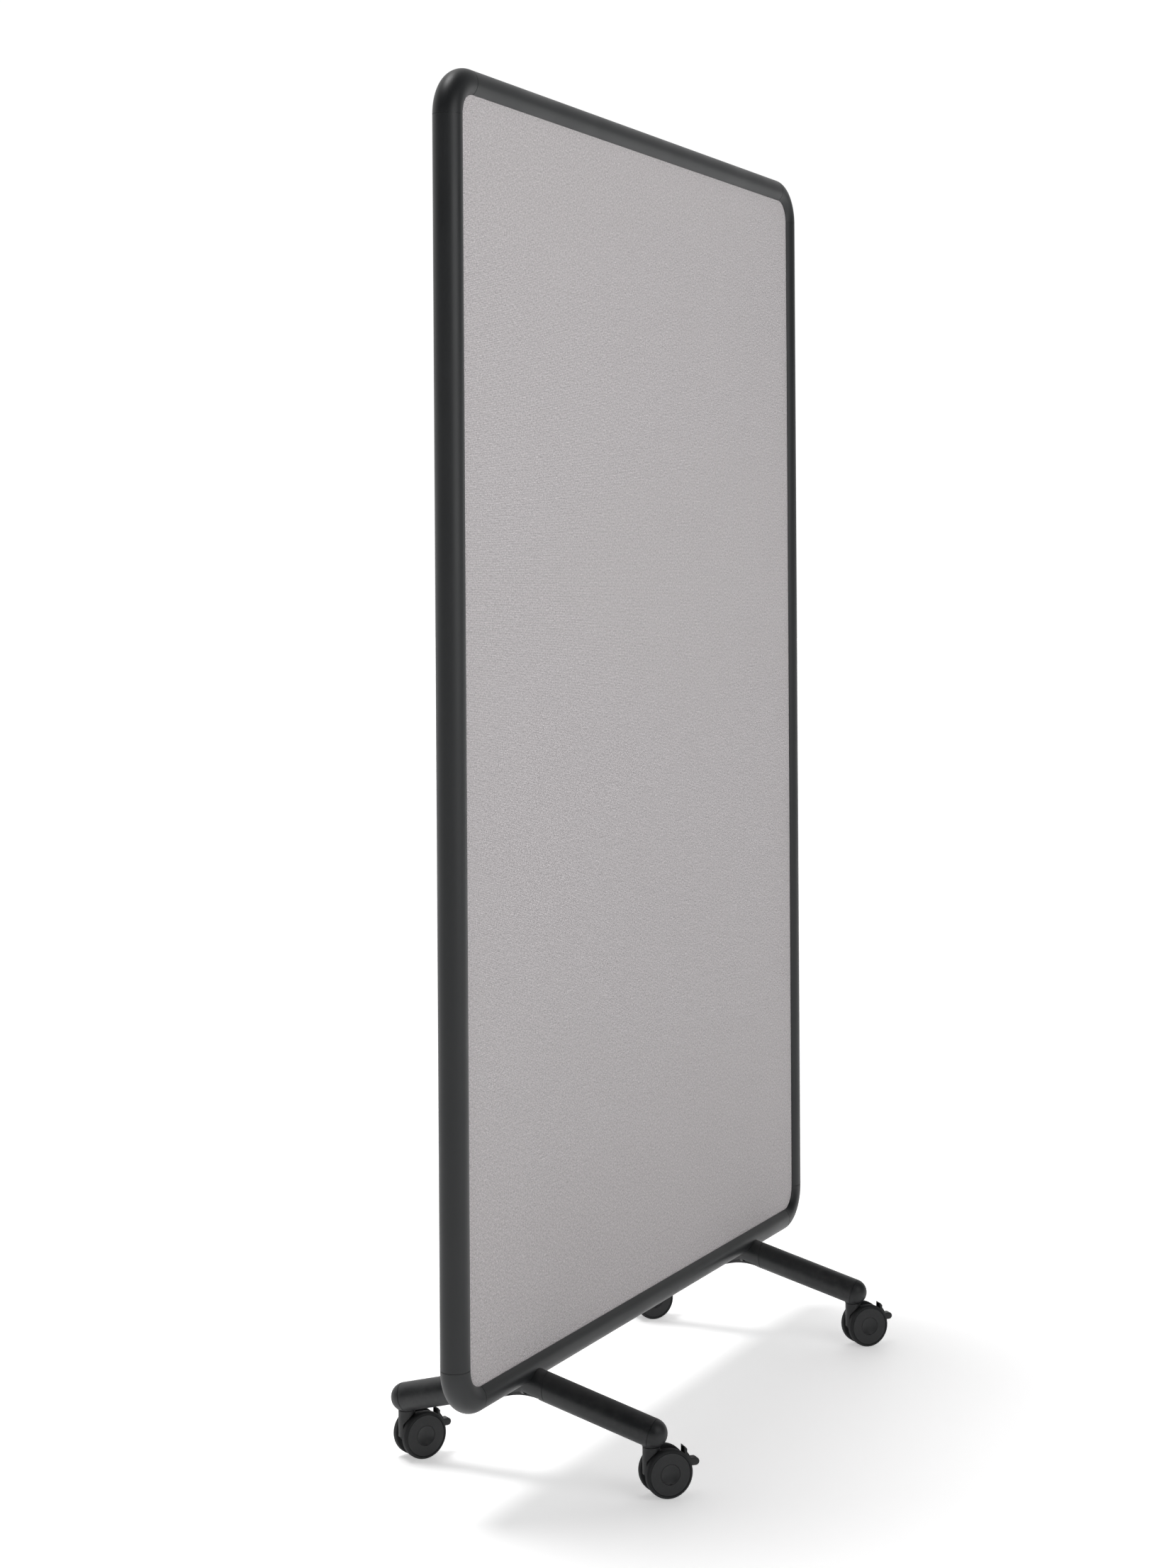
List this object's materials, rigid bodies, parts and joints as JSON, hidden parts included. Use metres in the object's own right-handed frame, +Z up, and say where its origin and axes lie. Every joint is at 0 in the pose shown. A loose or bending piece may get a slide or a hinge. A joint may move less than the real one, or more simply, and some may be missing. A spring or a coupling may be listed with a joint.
{
  "type": "mobile partition wall",
  "caption": "Tall fabric-covered acoustic partition panel in a rounded tube frame, standing on low sloping cross feet with braked twin-wheel swivel casters.",
  "frame": {"origin": "on the floor under the middle of the panel, midway between the two cross feet and in the wall's mid-plane", "axes": "+Z up, +X along the panel's width to the right as seen from the front, -Y out of the front face of the panel"},
  "size_m": [1.38, 0.509, 2.155],
  "materials": {
    "frame_coat": "satin charcoal powder coat on steel tube",
    "casting_coat": "satin charcoal powder coat on die-cast metal",
    "zinc_steel": "zinc-plated steel",
    "dark_steel": "black oxide steel",
    "cover_fabric": "woven light grey upholstery fabric",
    "padding_felt": "soft polyester wadding",
    "absorber": "compressed polyester fibre board",
    "batten_wood": "planed softwood",
    "seal_rubber": "black foam rubber strip",
    "block_rubber": "black rubber",
    "cap_plastic": "moulded charcoal plastic",
    "caster_plastic": "moulded near-black nylon",
    "tread": "soft dark grey polyurethane tread"
  },
  "bodies": {
    "frame": {"left_post": "frame_coat", "right_post": "frame_coat", "top_rail": "frame_coat", "bottom_rail": "frame_coat", "top_left_corner": "casting_coat", "top_right_corner": "casting_coat", "bottom_left_corner": "casting_coat", "bottom_right_corner": "casting_coat", "corner_screws": "zinc_steel", "front_fabric": "cover_fabric", "back_fabric": "cover_fabric", "front_padding": "padding_felt", "back_padding": "padding_felt", "panel_battens": "batten_wood", "acoustic_core": "absorber", "front_edge_seal": "seal_rubber", "back_edge_seal": "seal_rubber", "setting_blocks": "block_rubber", "left_foot_bracket": "casting_coat", "right_foot_bracket": "casting_coat", "bracket_bolts": "dark_steel", "nut_bars": "zinc_steel", "front_left_arm": "frame_coat", "back_left_arm": "frame_coat", "front_right_arm": "frame_coat", "back_right_arm": "frame_coat", "arm_screws": "dark_steel", "arm_end_caps": "cap_plastic", "front_left_caster_stem": "dark_steel", "back_left_caster_stem": "dark_steel", "front_right_caster_stem": "dark_steel", "back_right_caster_stem": "dark_steel"},
    "front_left_caster": {"front_left_caster_housing": "caster_plastic", "front_left_caster_axle": "zinc_steel"},
    "front_left_outer_wheel_set": {"front_left_outer_wheel": "caster_plastic", "front_left_outer_tyre": "tread"},
    "front_left_inner_wheel_set": {"front_left_inner_wheel": "caster_plastic", "front_left_inner_tyre": "tread"},
    "front_left_brake": {"front_left_brake_lever": "caster_plastic"},
    "back_left_caster": {"back_left_caster_housing": "caster_plastic", "back_left_caster_axle": "zinc_steel"},
    "back_left_outer_wheel_set": {"back_left_outer_wheel": "caster_plastic", "back_left_outer_tyre": "tread"},
    "back_left_inner_wheel_set": {"back_left_inner_wheel": "caster_plastic", "back_left_inner_tyre": "tread"},
    "back_left_brake": {"back_left_brake_lever": "caster_plastic"},
    "front_right_caster": {"front_right_caster_housing": "caster_plastic", "front_right_caster_axle": "zinc_steel"},
    "front_right_outer_wheel_set": {"front_right_outer_wheel": "caster_plastic", "front_right_outer_tyre": "tread"},
    "front_right_inner_wheel_set": {"front_right_inner_wheel": "caster_plastic", "front_right_inner_tyre": "tread"},
    "front_right_brake": {"front_right_brake_lever": "caster_plastic"},
    "back_right_caster": {"back_right_caster_housing": "caster_plastic", "back_right_caster_axle": "zinc_steel"},
    "back_right_outer_wheel_set": {"back_right_outer_wheel": "caster_plastic", "back_right_outer_tyre": "tread"},
    "back_right_inner_wheel_set": {"back_right_inner_wheel": "caster_plastic", "back_right_inner_tyre": "tread"},
    "back_right_brake": {"back_right_brake_lever": "caster_plastic"}
  },
  "joints": [
    {"name": "front_left_swivel", "type": "hinge", "parent": "frame", "child": "front_left_caster", "pos_m": [-0.441, -0.213, 0.0772], "axis": [0, 0, 1], "continuous": true},
    {"name": "front_left_outer_wheel_spin", "type": "hinge", "parent": "front_left_caster", "child": "front_left_outer_wheel_set", "pos_m": [-0.4244, -0.22892, 0.0375], "axis": [0.6921, 0.7218, 0], "continuous": true},
    {"name": "front_left_inner_wheel_spin", "type": "hinge", "parent": "front_left_caster", "child": "front_left_inner_wheel_set", "pos_m": [-0.4244, -0.22892, 0.0375], "axis": [0.6921, 0.7218, 0], "continuous": true},
    {"name": "front_left_brake_pedal", "type": "hinge", "parent": "front_left_caster", "child": "front_left_brake", "pos_m": [-0.40802, -0.24463, 0.0481], "axis": [0.6921, 0.7218, 0], "range_deg": [0, 12]},
    {"name": "back_left_swivel", "type": "hinge", "parent": "frame", "child": "back_left_caster", "pos_m": [-0.441, 0.213, 0.0772], "axis": [0, 0, 1], "continuous": true},
    {"name": "back_left_outer_wheel_spin", "type": "hinge", "parent": "back_left_caster", "child": "back_left_outer_wheel_set", "pos_m": [-0.42158, 0.20068, 0.0375], "axis": [0.5358, 0.8443, 0], "continuous": true},
    {"name": "back_left_inner_wheel_spin", "type": "hinge", "parent": "back_left_caster", "child": "back_left_inner_wheel_set", "pos_m": [-0.42158, 0.20068, 0.0375], "axis": [0.5358, 0.8443, 0], "continuous": true},
    {"name": "back_left_brake_pedal", "type": "hinge", "parent": "back_left_caster", "child": "back_left_brake", "pos_m": [-0.40241, 0.18851, 0.0481], "axis": [0.5358, 0.8443, 0], "range_deg": [0, 12]},
    {"name": "front_right_swivel", "type": "hinge", "parent": "frame", "child": "front_right_caster", "pos_m": [0.441, -0.213, 0.0772], "axis": [0, 0, 1], "continuous": true},
    {"name": "front_right_outer_wheel_spin", "type": "hinge", "parent": "front_right_caster", "child": "front_right_outer_wheel_set", "pos_m": [0.45782, -0.22869, 0.0375], "axis": [0.682, 0.7314, 0], "continuous": true},
    {"name": "front_right_inner_wheel_spin", "type": "hinge", "parent": "front_right_caster", "child": "front_right_inner_wheel_set", "pos_m": [0.45782, -0.22869, 0.0375], "axis": [0.682, 0.7314, 0], "continuous": true},
    {"name": "front_right_brake_pedal", "type": "hinge", "parent": "front_right_caster", "child": "front_right_brake", "pos_m": [0.47442, -0.24417, 0.0481], "axis": [0.682, 0.7314, 0], "range_deg": [0, 12]},
    {"name": "back_right_swivel", "type": "hinge", "parent": "frame", "child": "back_right_caster", "pos_m": [0.441, 0.213, 0.0772], "axis": [0, 0, 1], "continuous": true},
    {"name": "back_right_outer_wheel_spin", "type": "hinge", "parent": "back_right_caster", "child": "back_right_outer_wheel_set", "pos_m": [0.45867, 0.19828, 0.0375], "axis": [0.6401, 0.7683, 0], "continuous": true},
    {"name": "back_right_inner_wheel_spin", "type": "hinge", "parent": "back_right_caster", "child": "back_right_inner_wheel_set", "pos_m": [0.45867, 0.19828, 0.0375], "axis": [0.6401, 0.7683, 0], "continuous": true},
    {"name": "back_right_brake_pedal", "type": "hinge", "parent": "back_right_caster", "child": "back_right_brake", "pos_m": [0.47611, 0.18375, 0.0481], "axis": [0.6401, 0.7683, 0], "range_deg": [0, 12]}
  ]
}
